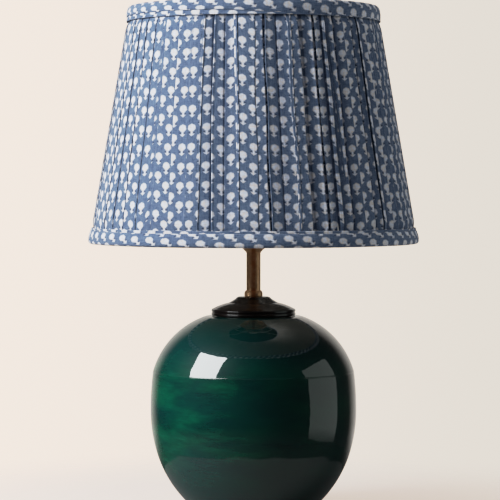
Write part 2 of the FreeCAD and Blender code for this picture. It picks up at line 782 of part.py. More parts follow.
def gimbal_arm():
    """A wire from the gimbal ring up and out to its pivot pin."""
    z = GIMBAL_Z + GIMBAL_PLATE / 2
    bend = 16.0
    side_view = [(GIMBAL_R - 0.6, z), (GIMBAL_RISE[0], z), (GIMBAL_RISE[1], PIVOT_Z), (PIN_TIP, PIVOT_Z)]
    return bent_wire([Vector(x, 0, z) for x, z in side_view], PIN_R, bend).cut(gimbal_ring())


def pivot_socket(struts):
    """The short tube welded to the inside of a strut, that the gimbal's pin turns in."""
    start = Vector(SOCKET_FROM, 0, PIVOT_Z)
    end = Vector(shade_r(PIVOT_Z, WIRE_OFF + STRUT_WIRE / 2), 0, PIVOT_Z)
    tube_blank = rod(SOCKET_R, start, end).cut(rod(PIN_R + GAP, start, end))
    return solid(tube_blank.cut(struts))


# --- shade ----------------------------------------------------------------------------------

def frame_ring(z):
    return Part.makeTorus(shade_r(z, WIRE_OFF), RING_WIRE, Vector(0, 0, z))


def frame_struts(rings):
    """The straight wires from ring to ring, trimmed where they meet the rings."""
    low, high = SHADE_FOOT + RING_INSET, SHADE_TOP - RING_INSET
    made = []
    for i in range(STRUTS):
        turn = 2 * math.pi * i / STRUTS
        ends = [Vector(*on_circle(0, 0, shade_r(z, WIRE_OFF), turn), z) for z in (low, high)]
        made.append(rod(STRUT_WIRE, *ends).cut(rings))
    return Part.makeCompound(made)


def cone_layer(outside, thick, foot, top):
    """A thin cone that follows the cloth's outside at an inward offset."""
    return turned((shade_r(foot, outside), foot), (shade_r(top, outside), top),
                  (shade_r(top, outside + thick), top), (shade_r(foot, outside + thick), foot))


def shade_cover():
    return cone_layer(0, CLOTH_THICK, SHADE_FOOT + CLOTH_INSET, SHADE_TOP - CLOTH_INSET)


def shade_lining():
    """The plain inner cone, with a hole where each pivot socket comes through."""
    cone = cone_layer(LINING_OFF, LINING_THICK, SHADE_FOOT + CLOTH_INSET, SHADE_TOP - CLOTH_INSET)
    ends = [Vector(x, 0, PIVOT_Z) for x in (-SHADE_FOOT_R, SHADE_FOOT_R)]
    return cone.cut(rod(SOCKET_R + GAP, *ends))


def trim(edge_z, inside_z, up):
    """A folded band over one ring: outer leg, rounded fold and inner leg. up is 1 or -1."""
    proud = -TRIM_PROUD
    leg_top = edge_z + up * TRIM_HIGH
    inner_top = edge_z + up * TRIM_INNER_HIGH
    soft = 3.0                   # radius of the fold over the edge
    corner = soft * (1 - math.sqrt(0.5))
    middle = edge_z + up * TRIM_HIGH * 0.56
    fold_z = edge_z + up * soft
    corner_z = edge_z + up * corner
    band = Outline(shade_r(leg_top, -0.3), leg_top)
    band.arc((shade_r(middle, proud), middle), (shade_r(fold_z, proud), fold_z))
    band.arc((shade_r(corner_z, proud + corner), corner_z), (shade_r(edge_z, proud + soft), edge_z))
    band.line(shade_r(edge_z, TRIM_INNER_OFF + TRIM), edge_z)
    band.line(shade_r(inner_top, TRIM_INNER_OFF + TRIM), inner_top)
    band.line(shade_r(inner_top, TRIM_INNER_OFF), inner_top)
    band.line(shade_r(inside_z, TRIM_INNER_OFF), inside_z)
    band.line(shade_r(inside_z, -0.1), inside_z)
    band.line(shade_r(leg_top, -0.1), leg_top)
    return band.turned()


def build():
    grommet, inlet_hole = inlet_pieces()
    low_ring = frame_ring(SHADE_FOOT + RING_INSET)
    high_ring = frame_ring(SHADE_TOP - RING_INSET)
    struts = frame_struts(low_ring.fuse(high_ring))
    arm, gimbal, socket = carrier_arm(), gimbal_arm(), pivot_socket(struts)
    return {
        "ceramic_body": jar_blank().cut(inlet_hole),
        "foot_felt": foot_felt(),
        "cord_grommet": grommet,
        "cap_gasket": cap_gasket(),
        "vase_cap": vase_cap(),
        "neck_collar": neck_collar(),
        "neck_tube": neck_tube(),
        "threaded_rod": threaded_rod(),
        "neck_bridge": neck_bridge(),
        "lock_washer": lock_washer(),
        "bridge_nut": bridge_nut(),
        "holder_cup": holder_cup(),
        "cup_nut": cup_nut(),
        "holder_shell": holder_shell(),
        "holder_liner": holder_liner(),
        "holder_block": holder_block(),
        "terminals": terminals(),
        "terminal_screws": terminal_screws(),
        "screw_shell": screw_shell(),
        "centre_contact": centre_contact(),
        "switch_block": switch_block(),
        "switch_bar": switch_bar(),
        "switch_buttons": switch_buttons(),
        "shade_ring_lower": shade_ring(RING_LOW_Z),
        "shade_ring_upper": shade_ring(CARRIER_LOW_Z + CARRIER_PLATE + GAP / 2),
        "carrier_ring": carrier_ring(),
        "carrier_arm_right": arm,
        "carrier_arm_left": mirrored(arm),
        "carrier_head": carrier_head(),
        "bulb_glass": bulb_glass(),
        "bulb_cap": bulb_cap(),
        "bulb_insulator": bulb_insulator(),
        "bulb_tip": bulb_tip(),
        "bulb_stem": bulb_stem(),
        "bulb_filaments": bulb_filaments(),
        "bulb_supports": bulb_supports(),
        "gimbal_ring": gimbal_ring(),
        "gimbal_arm_right": gimbal,
        "gimbal_arm_left": mirrored(gimbal),
        "gimbal_nut": gimbal_nut(),
        "pivot_socket_right": socket,
        "pivot_socket_left": mirrored(socket),
        "frame_ring_lower": low_ring,
        "frame_ring_upper": high_ring,
        "frame_struts": struts,
        "shade_cover": shade_cover(),
        "shade_lining": shade_lining(),
        "trim_lower": trim(SHADE_FOOT, SHADE_FOOT + TRIM, 1),
        "trim_upper": trim(SHADE_TOP, SHADE_TOP - TRIM, -1),
    }


def main():
    os.makedirs(OUT, exist_ok=True)
    for name, shape in build().items():
        shape.exportStep(os.path.join(OUT, name + ".step"))
        print(f"{name:20s} solids {len(shape.Solids)}  valid {shape.isValid()}  "
              f"volume {shape.Volume / 1000:9.3f} cm3")
    at, out = inlet_axis()
    print("inlet at", at, "pointing", out)


main()
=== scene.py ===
"""The looks of a table lamp: gathered printed shade, glazed jar, dark cap and aged brass neck.

Lengths are in metres unless a name says mm. The camera stands on the -Y side, +X is on the
right of the picture and Z is up. Angles round the lamp start at the camera's side and grow
toward +X.
"""

import math
import random

import bpy
import numpy as np
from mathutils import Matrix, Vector, noise


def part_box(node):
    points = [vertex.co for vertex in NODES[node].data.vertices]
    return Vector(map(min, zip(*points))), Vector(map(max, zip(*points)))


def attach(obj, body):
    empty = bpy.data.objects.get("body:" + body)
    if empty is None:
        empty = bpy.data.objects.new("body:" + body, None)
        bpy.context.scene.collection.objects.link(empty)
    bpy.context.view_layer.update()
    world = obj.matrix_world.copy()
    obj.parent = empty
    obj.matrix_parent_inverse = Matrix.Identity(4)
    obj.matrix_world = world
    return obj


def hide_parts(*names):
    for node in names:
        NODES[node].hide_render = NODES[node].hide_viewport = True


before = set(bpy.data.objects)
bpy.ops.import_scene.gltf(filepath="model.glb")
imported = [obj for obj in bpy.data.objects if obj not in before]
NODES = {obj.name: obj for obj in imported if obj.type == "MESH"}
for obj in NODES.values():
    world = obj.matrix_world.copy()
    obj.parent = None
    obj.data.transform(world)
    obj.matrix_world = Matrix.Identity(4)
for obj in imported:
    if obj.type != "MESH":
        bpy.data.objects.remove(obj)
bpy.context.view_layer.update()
TAU = 2 * math.pi
MM = 0.001


# --- camera and view ------------------------------------------------------------------------

EYE = Vector((-0.0037, -2.454, 0.3583))
EYE_TILT = math.radians(1.88)  # how far it looks down
FOCAL = 166.7                  # millimetres, on a 36 mm sensor
BRIGHTEST = 5.0                # this brightness in the scene is shown as full white
SHOULDER = ((0.22, 0.22), (0.45, 0.45), (0.80, 0.66), (1.33, 0.79), (2.0, 0.90), (3.0, 0.96),
            (BRIGHTEST, 1.0))  # (brightness in the scene, brightness shown)


def set_view():
    """Plain colours with a camera's soft shoulder, so that brightly lit cloth keeps its tone."""
    view = bpy.context.scene.view_settings
    view.view_transform = "Standard"
    view.use_curve_mapping = True
    mapping = view.curve_mapping
    mapping.white_level = [BRIGHTEST] * 3
    curve = mapping.curves[3]
    curve.points[-1].location = (1.0, SHOULDER[-1][1])
    for bright, shown in SHOULDER[:-1]:
        curve.points.new(bright / BRIGHTEST, shown)
    mapping.update()


def add_camera():
    data = bpy.data.cameras.new("camera")
    data.lens = FOCAL
    data.sensor_width = 36
    data.clip_end = 30
    camera = bpy.data.objects.new("camera", data)
    camera.location = EYE
    camera.rotation_euler = (math.pi / 2 - EYE_TILT, 0, 0)
    bpy.context.scene.collection.objects.link(camera)
    bpy.context.scene.camera = camera


# --- light ----------------------------------------------------------------------------------

PALE = (0.815, 0.765, 0.70, 1)
COOL = (0.72, 0.76, 0.81, 1)
BACKDROP_LEFT = (1.86, 1.46, 1.14, 1)
BACKDROP_RIGHT = (1.20, 1.02, 0.82, 1)

# name, the point it faces, azimuth, elevation, distance, size, watts, colour, roll, mirrored
PANELS = (
    ("key", (-0.05, -0.09, 0.155), -66, 37, 1.35, (0.80, 0.84), 28, (0.95, 0.98, 1.0), 10, True),
    ("side_card", (0.09, -0.06, 0.12), 85, 7, 1.2, (0.98, 1.30), 1.75, (0.90, 1.0, 0.95), 0, True),
    ("right_fill", (0, 0, 0.42), 58, 34, 1.6, (1.0, 1.0), 3.5, (1.0, 0.98, 0.97), 0, False),
    ("left_fill", (0, 0, 0.42), -82, 18, 1.6, (1.0, 1.0), 9.0, (1.0, 0.98, 0.96), 0, False),
)


def add_panel(name, middle, azimuth, elevation, distance, size, watts, colour, roll, mirrored):
    """A rectangular light that faces a point. Azimuth 0 is the camera's side, 90 is +X. One
    that isn't mirrored leaves no shape in the glaze."""
    a, e = math.radians(azimuth), math.radians(elevation)
    out = Vector((math.sin(a) * math.cos(e), -math.cos(a) * math.cos(e), math.sin(e)))
    data = bpy.data.lights.new(name, "AREA")
    data.shape = "RECTANGLE"
    data.size, data.size_y = size
    data.energy = watts
    data.color = colour
    light = bpy.data.objects.new(name, data)
    light.location = Vector(middle) + out * distance
    light.rotation_euler = out.to_track_quat("Z", "Y").to_euler()
    light.rotation_euler.rotate_axis("Z", math.radians(roll))
    light.visible_glossy = mirrored
    bpy.context.scene.collection.objects.link(light)


def set_ends(map_range, low, high, to_low, to_high):
    """Fills in the four ends of a Map Range node."""
    names = ("From Min", "From Max", "To Min", "To Max")
    for name, end in zip(names, (low, high, to_low, to_high)):
        map_range.inputs[name].default_value = end


def add_world():
    """A pale backdrop for the eye, a little brighter on the key's side. The lamp reflects a
    bright wall behind it and a dim room in front, and is lit by a weaker glow of the same."""
    world = bpy.data.worlds.new("studio")
    bpy.context.scene.world = world
    world.use_nodes = True
    tree = world.node_tree
    tree.nodes.clear()
    place = tree.nodes.new("ShaderNodeTexCoord")
    parts = tree.nodes.new("ShaderNodeSeparateXYZ")
    rays = tree.nodes.new("ShaderNodeLightPath").outputs
    tree.links.new(place.outputs["Generated"], parts.inputs[0])

    def ramp(axis, *ends):
        made = tree.nodes.new("ShaderNodeMapRange")
        made.interpolation_type = "SMOOTHSTEP"
        tree.links.new(parts.outputs[axis], made.inputs["Value"])
        set_ends(made, *ends)
        return made.outputs[0]

    def glow(colour, strength=None):
        made = tree.nodes.new("ShaderNodeBackground")
        made.inputs["Color"].default_value = colour
        if strength:
            tree.links.new(strength, made.inputs["Strength"])
        return made.outputs[0]

    def choose(share, otherwise, chosen):
        made = tree.nodes.new("ShaderNodeMixShader")
        for source, socket in zip((share, otherwise, chosen), made.inputs):
            tree.links.new(source, socket)
        return made.outputs[0]

    lit = glow(COOL, ramp("Y", -0.2, 0.7, 0.14, 0.52))
    mirrored = glow(PALE, ramp("Y", 0.66, 0.96, 0.007, 0.85))
    backdrop = choose(ramp("X", -0.13, 0.13, 0, 1), glow(BACKDROP_LEFT), glow(BACKDROP_RIGHT))
    lighting = choose(rays["Is Glossy Ray"], lit, mirrored)
    out = tree.nodes.new("ShaderNodeOutputWorld")
    tree.links.new(choose(rays["Is Camera Ray"], lighting, backdrop), out.inputs[0])


# --- floor ----------------------------------------------------------------------------------

FLOOR_RADIUS = 0.56
FLOOR_FADES_FROM = 0.19
FLOOR_STEPS = 96
FLOOR_DARK, FLOOR_PALE = (0.67, 0.585, 0.51, 1), (0.69, 0.605, 0.53, 1)
FLOOR_GLOW = (0.68, 0.51, 0.42, 1)
MIRRORED_NEAR, MIRRORED_FAR = (0.15, 0.145, 0.14, 1), (0.012, 0.012, 0.012, 1)


def pale_floor():
    """Pale floor with a little glow for the eye, so that it meets the backdrop. The glaze
    mirrors it darker, and only its middle. It fades toward its rim, and is clear from below."""
    look = Look("pale_floor")
    place = look.coords()
    rays = look.node("LightPath").outputs
    pale = look.mix(look.between(look.noise(place, 60, 3), 0.3, 0.7), FLOOR_DARK, FLOOR_PALE)
    far = look.math("LENGTH", place)
    ragged = look.math("MULTIPLY_ADD", look.noise(place, 9, 3), 0.05, far)
    mirrored = look.mix(look.between(ragged, 0.222, 0.230), MIRRORED_NEAR, MIRRORED_FAR)
    look.feed("Base Color", look.mix(rays["Is Glossy Ray"], pale, mirrored))
    look.feed("Emission Strength", rays["Is Camera Ray"])
    look.set(Roughness=0.75, Emission_Color=FLOOR_GLOW)
    above = look.math("SUBTRACT", 1.0, look.node("NewGeometry").outputs["Backfacing"])
    inner = look.between(far, FLOOR_RADIUS, FLOOR_FADES_FROM)
    look.feed("Alpha", look.math("MULTIPLY", inner, above))
    return look.material


def add_floor():
    turns = [TAU * i / FLOOR_STEPS for i in range(FLOOR_STEPS)]
    rim = [(FLOOR_RADIUS * math.cos(a), FLOOR_RADIUS * math.sin(a), 0) for a in turns]
    mesh = bpy.data.meshes.new("floor")
    mesh.from_pydata(rim, [], [list(range(FLOOR_STEPS))])
    mesh.materials.append(pale_floor())
    floor = bpy.data.objects.new("floor", mesh)
    bpy.context.scene.collection.objects.link(floor)


# --- materials ------------------------------------------------------------------------------

class Look:
    """One material's nodes, made with short calls. Sockets are passed around as outputs."""

    def __init__(self, name):
        self.material = bpy.data.materials.new(name)
        self.material.use_nodes = True
        self.tree = self.material.node_tree
        self.shader = self.tree.nodes["Principled BSDF"]

    def node(self, kind, **settings):
        made = self.tree.nodes.new("ShaderNode" + kind)
        for key, value in settings.items():
            setattr(made, key, value)
        return made

    def plug(self, value, socket):
        """Links an output to a socket, or sets the socket to a plain value."""
        if hasattr(value, "is_linked"):
            self.tree.links.new(value, socket)
        else:
            socket.default_value = value

    def feed(self, name, value):
        self.plug(value, self.shader.inputs[name])

    def set(self, **values):
        """Fixed values on the shader's own sockets; Coat_Weight means Coat Weight."""
        for key, value in values.items():
            self.shader.inputs[key.replace("_", " ")].default_value = value

    def coords(self):
        return self.node("TexCoord").outputs["Object"]

    def math(self, operation, *values):
        """A Math node's result, or the length of a vector for LENGTH."""
        kind = "VectorMath" if operation == "LENGTH" else "Math"
        made = self.node(kind, operation=operation)
        for value, socket in zip(values, made.inputs):
            self.plug(value, socket)
        return made.outputs["Value"]

    def split(self, vector):
        made = self.node("SeparateXYZ")
        self.plug(vector, made.inputs[0])
        return made.outputs[:]

    def join(self, x, y, z=0.0):
        made = self.node("CombineXYZ")
        for value, socket in zip((x, y, z), made.inputs):
            self.plug(value, socket)
        return made.outputs[0]

    def stretch(self, vector, scale):
        made = self.node("VectorMath", operation="MULTIPLY")
        self.plug(vector, made.inputs[0])
        made.inputs[1].default_value = scale
        return made.outputs[0]

    def noise(self, vector, scale, detail=3.0, rough=0.5, warp=0.0):
        made = self.node("TexNoise")
        self.plug(vector, made.inputs["Vector"])
        made.inputs["Scale"].default_value = scale
        made.inputs["Detail"].default_value = detail
        made.inputs["Roughness"].default_value = rough
        made.inputs["Distortion"].default_value = warp
        return made.outputs["Fac"]

    def between(self, value, low, high, to_low=0.0, to_high=1.0):
        """A smooth step from to_low at low to to_high at high; low may be the larger."""
        made = self.node("MapRange", interpolation_type="SMOOTHSTEP")
        self.plug(value, made.inputs["Value"])
        ends = (high, low, to_high, to_low) if low > high else (low, high, to_low, to_high)
        set_ends(made, *ends)
        return made.outputs[0]

    def mix(self, share, low, high, blend="MIX"):
        made = self.node("Mix", data_type="RGBA", blend_type=blend)
        self.plug(share, made.inputs[0])
        self.plug(low, made.inputs[6])
        self.plug(high, made.inputs[7])
        return made.outputs[2]

    def bump(self, height, distance, strength=1.0, into="Normal"):
        made = self.node("Bump")
        made.inputs["Strength"].default_value = strength
        made.inputs["Distance"].default_value = distance
        self.plug(height, made.inputs["Height"])
        self.plug(made.outputs[0], self.shader.inputs[into])


RIDGE_Z = 0.1494               # height of the fine ridge round the jar
GLAZE_DEEP, GLAZE_GREEN = (0.0006, 0.033, 0.025, 1), (0.0008, 0.088, 0.046, 1)
GLAZE_STROKE = (0.003, 0.135, 0.082, 1)
GLAZE_POOL = (0.0006, 0.026, 0.032, 1)
GLAZE_SPECK = (0.0008, 0.030, 0.026, 1)
GLAZE_SHADED_TEAL = (0.0006, 0.030, 0.030, 1)
GLAZE_PAINTED_SHADE = (0.0004, 0.006, 0.006, 1)


def glaze_colour(look, place, strokes):
    """Bands, strokes, pools and specks of green. Toward the neck and the foot the green gives way
    to a darker teal: the teal hue is the glaze's own, the darkening is painted shade under the
    lampshade and where the jar turns down. On +X, the side away from the key light, the glaze
    is painted nearly black: painted shade."""
    x, _, z = look.split(place)
    bands = look.noise(look.stretch(place, (1, 1, 4.0)), 12, 5, 0.60, 0.35)
    pools = look.noise(look.stretch(place, (1, 1, 2.4)), 9, 4, 0.55, 0.3)
    specks = look.noise(look.stretch(place, (1, 1, 5.0)), 110, 4, 0.7)
    green = look.mix(look.between(bands, 0.34, 0.68), GLAZE_DEEP, GLAZE_GREEN)
    green = look.mix(look.between(strokes, 0.44, 0.78, 0, 0.42), green, GLAZE_STROKE)
    green = look.mix(look.between(pools, 0.58, 0.40, 0, 0.60), green, GLAZE_POOL)
    green = look.mix(look.between(specks, 0.42, 0.66, 0, 0.40), green, GLAZE_SPECK)
    # partly painted shade: the teal hue is the glaze's, its darkening toward the neck under the
    # lampshade and toward the foot stands in for shade
    high = look.between(z, RIDGE_Z - 0.010, RIDGE_Z + 0.026, 0, 0.78)
    low = look.between(z, 0.070, 0.028, 0, 0.70)
    green = look.mix(look.math("MAXIMUM", high, low), green, GLAZE_SHADED_TEAL)
    # painted shade: darker toward +X, the side turned away from the key light
    return look.mix(look.between(x, -0.085, 0.045, 0, 0.80), green, GLAZE_PAINTED_SHADE)


def glaze():
    """Deep green glaze under a wet clear coat, with the fine ridge that the potter left where
    the shoulder begins."""
    look = Look("green_glaze")
    place = look.coords()
    strokes = look.noise(look.stretch(place, (1, 1, 9.0)), 30, 5, 0.65, 0.2)
    look.feed("Base Color", glaze_colour(look, place, strokes))
    look.set(Roughness=0.42, IOR=1.45, Specular_IOR_Level=0.1)
    look.set(Coat_Weight=1.0, Coat_Roughness=0.012, Coat_IOR=1.75)
    waves = look.noise(look.stretch(place, (1, 1, 1.5)), 26, 3, 0.5)
    off_ridge = look.math("ABSOLUTE", look.math("SUBTRACT", look.split(place)[2], RIDGE_Z))
    ridge = look.between(off_ridge, 0.9 * MM, 0.1 * MM, 0, 0.6)
    look.bump(look.math("ADD", waves, ridge), 0.00034, 1.0, "Coat Normal")
    look.bump(strokes, 0.0002, 0.5)
    return look.material


BRASS_BROWN, BRASS_BRIGHT = (0.56, 0.17, 0.05, 1), (1.0, 0.62, 0.34, 1)
BRASS_GRAIN = (0.30, 0.11, 0.04, 1)


def aged_brass():
    """Brass gone brown and brushed along its length, with painted highlights on its left and right
    that stand in for the streaks of light the tube reflects.
    """
    look = Look("aged_brass")
    place = look.coords()
    patina = look.noise(place, 85, 5, 0.62)
    grain = look.noise(look.stretch(place, (1, 1, 0.15)), 1500, 3, 0.6)
    # painted highlight: brighter away from the middle in X, for the reflected streaks on the tube's
    # sides
    off_middle = look.math("ABSOLUTE", look.split(place)[0])
    painted_side_highlight = look.between(off_middle, 0.8 * MM, 3.8 * MM, 0, 0.65)
    share = look.math("ADD", painted_side_highlight, look.between(patina, 0.36, 0.68, 0, 0.35))
    brass = look.mix(share, BRASS_BROWN, BRASS_BRIGHT)
    look.feed("Base Color", look.mix(look.between(grain, 0.3, 0.7, 0, 0.35), brass, BRASS_GRAIN))
    look.feed("Roughness", look.between(patina, 0.3, 0.7, 0.44, 0.32))
    look.set(Metallic=0.6, Anisotropic=0.8, Anisotropic_Rotation=0.25)
    look.bump(grain, 0.00003, 0.6)
    return look.material


LACQUER_DARK, LACQUER_SMUDGE = (0.003, 0.0018, 0.0018, 1), (0.010, 0.005, 0.004, 1)
TURNING_PITCH = 0.9 * MM


def lacquer():
    """Near-black lacquer over a turned cap, with fine turning rings and faint smudges."""
    look = Look("dark_lacquer")
    place = look.coords()
    x, y, _ = look.split(place)
    radius = look.math("LENGTH", look.join(x, y))
    rings = look.math("SINE", look.math("MULTIPLY", radius, TAU / TURNING_PITCH))
    smudge = look.noise(place, 60, 4, 0.6)
    look.feed("Base Color", look.mix(look.between(smudge, 0.35, 0.7), LACQUER_DARK, LACQUER_SMUDGE))
    look.feed("Roughness", look.between(smudge, 0.3, 0.7, 0.32, 0.46))
    look.set(Specular_IOR_Level=0.12, Coat_Weight=0.8, Coat_Roughness=0.05)
    look.bump(rings, 0.00001, 0.5)
    return look.material


def plated(name, dark, bright, roughness):
    """Plain plated or pressed metal with a soft cloudy finish."""
    look = Look(name)
    cloud = look.noise(look.coords(), 220, 4, 0.6)
    look.feed("Base Color", look.mix(look.between(cloud, 0.3, 0.7), (*dark, 1), (*bright, 1)))
    look.feed("Roughness", look.between(cloud, 0.3, 0.7, roughness, roughness + 0.15))
    look.set(Metallic=1.0)
    look.bump(look.noise(look.coords(), 2500, 2), 0.00002, 0.4)
    return look.material


def moulded(name, dark, bright, roughness, grain=1800, depth=0.00004):
    """Moulded, painted or pressed stuff with a fine even grain."""
    look = Look(name)
    place = look.coords()
    cloud = look.noise(place, 90, 4, 0.6)
    look.feed("Base Color", look.mix(look.between(cloud, 0.3, 0.7), (*dark, 1), (*bright, 1)))
    look.feed("Roughness", look.between(cloud, 0.3, 0.7, roughness - 0.06, roughness + 0.06))
    look.bump(look.noise(place, grain, 3), depth, 0.6)
    return look.material


FELT_DARK, FELT_PALE = (0.010, 0.035, 0.022, 1), (0.035, 0.085, 0.055, 1)


def felt():
    look = Look("green_felt")
    fuzz = look.noise(look.coords(), 1400, 5, 0.75)
    look.feed("Base Color", look.mix(look.between(fuzz, 0.3, 0.7), FELT_DARK, FELT_PALE))
    look.set(Roughness=0.95, Sheen_Weight=0.5, Sheen_Roughness=0.5)
    look.bump(fuzz, 0.0004, 0.8)
    return look.material


GLASS_HAZE, GLASS_CLEAR = (0.96, 0.97, 0.97, 1), (1, 1, 1, 1)


def bulb_glass():
    look = Look("clear_glass")
    haze = look.noise(look.coords(), 40, 3)
    look.feed("Base Color", look.mix(look.between(haze, 0.3, 0.7), GLASS_HAZE, GLASS_CLEAR))
    look.set(Roughness=0.02, IOR=1.45, Transmission_Weight=1.0)
    return look.material


# --- cloth ----------------------------------------------------------------------------------

COLUMN = 10.0                  # mm between the print's columns of flowers
REPEAT = 19.5                  # mm between flowers in a column; every other one is a half-drop
EDGE_SOFT = 1.7                # mm over which a printed edge fades
COTTON_DEEP = (0.036, 0.066, 0.138, 1)
COTTON_PALE = (0.098, 0.146, 0.242, 1)
COTTON_THREAD = (0.170, 0.222, 0.316, 1)
COTTON_ACCENT = (0.026, 0.032, 0.065, 1)
# the tint of the painted shade in the gathers' folds
FOLD_PAINTED_SHADE = (0.20, 0.23, 0.32, 1)
PRINT_WHITE, PRINT_CREAM = (0.76, 0.81, 0.93, 1), (0.80, 0.74, 0.70, 1)
LINING_DARK, LINING_PALE = (0.30, 0.28, 0.245, 1), (0.40, 0.375, 0.33, 1)
COTTON_PITCH, LINING_PITCH = 0.55 * MM, 0.7 * MM  # from one raised thread to the next


def motif(look, x, y):
    """(printed, accent) shares of one block-printed flower at x, y in millimetres: a round
    scalloped head, a short neck with a dark dot each side, and a pair of leaves to a point."""

    def inside(depth):
        return look.between(depth, -EDGE_SOFT / 2, EDGE_SOFT / 2)

    side = look.math("ABSOLUTE", x)
    up = look.math("SUBTRACT", y, 2.5)
    angle = look.math("ABSOLUTE", look.math("ARCTAN2", x, up))
    lobes = look.math("MULTIPLY", look.math("COSINE", look.math("MULTIPLY", angle, 7.0)), 0.13)
    reach = look.math("ADD", look.between(angle, 1.5, 2.6, 3.95, 3.50), lobes)
    head = inside(look.math("SUBTRACT", reach, look.math("LENGTH", look.join(x, up))))

    neck_side = look.math("SUBTRACT", 0.95, side)
    neck_end = look.math("SUBTRACT", 2.2, look.math("ABSOLUTE", look.math("ADD", y, 2.2)))
    neck = inside(look.math("MINIMUM", neck_side, neck_end))

    over = look.math("DIVIDE", x, 3.1)
    square = look.math("MULTIPLY", over, over)
    taper = look.math("MULTIPLY", look.math("SUBTRACT", 1.0, square), 1.15)
    thick = look.math("SUBTRACT", taper, 0.25)
    bowed = look.math("SUBTRACT", look.math("MULTIPLY", square, 0.9), 4.3)
    off_leaf = look.math("ABSOLUTE", look.math("SUBTRACT", y, bowed))
    leaves = inside(look.math("SUBTRACT", thick, off_leaf))

    slope = look.math("SUBTRACT", look.math("ADD", y, 5.9), side)
    point = inside(look.math("MINIMUM", slope, look.math("SUBTRACT", -4.2, y)))

    printed = look.math("MAXIMUM", look.math("MAXIMUM", head, neck),
                        look.math("MAXIMUM", leaves, point))
    dot_x = look.math("DIVIDE", look.math("SUBTRACT", side, 2.4), 1.35)
    dot_y = look.math("DIVIDE", look.math("ADD", y, 2.2), 0.85)
    accent = look.between(look.math("LENGTH", look.join(dot_x, dot_y)), 1.15, 0.55)
    return printed, accent


def in_cell(look, u_mm, v_mm, k):
    """Millimetres from the middle of the nearest flower of set 0 or 1. Set 1 fills the columns
    between those of set 0, half a repeat on. Each flower sits a little off its place."""
    u_mm = look.math("ADD", u_mm, k * COLUMN)
    v_mm = look.math("ADD", v_mm, k * REPEAT / 2)
    cell = look.join(look.math("FLOOR", look.math("DIVIDE", u_mm, 2 * COLUMN)),
                     look.math("FLOOR", look.math("DIVIDE", v_mm, REPEAT)), 7.3 * k)
    chance = look.node("TexWhiteNoise", noise_dimensions="3D")
    look.plug(cell, chance.inputs["Vector"])
    off_x, off_y, _ = look.split(chance.outputs["Color"])
    x = look.math("SUBTRACT", look.math("FLOORED_MODULO", u_mm, 2 * COLUMN), COLUMN)
    y = look.math("SUBTRACT", look.math("FLOORED_MODULO", v_mm, REPEAT), REPEAT / 2)
    x = look.math("MULTIPLY_ADD", off_x, 0.8, look.math("SUBTRACT", x, 0.4))
    y = look.math("MULTIPLY_ADD", off_y, 0.9, look.math("SUBTRACT", y, 0.45))
    return x, y


def turned(look, x, y, angle):
    c, s = math.cos(angle), math.sin(angle)
    return (look.math("ADD", look.math("MULTIPLY", x, c), look.math("MULTIPLY", y, s)),
            look.math("SUBTRACT", look.math("MULTIPLY", y, c), look.math("MULTIPLY", x, s)))


def flower_print(look, u, v, lean, stretch):
    """(printed, accent) shares of the whole print, with slightly ragged edges."""
    flat = look.join(u, v)
    ragged_u = look.noise(flat, 900, 2)
    ragged_v = look.noise(look.stretch(flat, (1.3, 1.1, 1)), 800, 2)
    u_mm = look.math("MULTIPLY_ADD", ragged_u, 0.9, look.math("MULTIPLY", u, 1000.0))
    v_mm = look.math("MULTIPLY_ADD", ragged_v, 0.9, look.math("MULTIPLY", v, 1000.0))
    printed, accent = 0.0, 0.0
    for k in (0, 1):
        x, y = in_cell(look, u_mm, v_mm, k)
        x, y = look.math("DIVIDE", x, stretch[0]), look.math("DIVIDE", y, stretch[1])
        if lean:
            x, y = turned(look, x, y, lean)
        one, dots = motif(look, x, y)
        printed = look.math("MAXIMUM", printed, one)
        accent = look.math("MAXIMUM", accent, dots)
    return printed, accent


def weave(look, u, v, pitch):
    """A plain weave's height, from -1 to 1."""
    return look.math("MULTIPLY", look.math("SINE", look.math("MULTIPLY", u, TAU / pitch)),
                     look.math("SINE", look.math("MULTIPLY", v, TAU / pitch)))


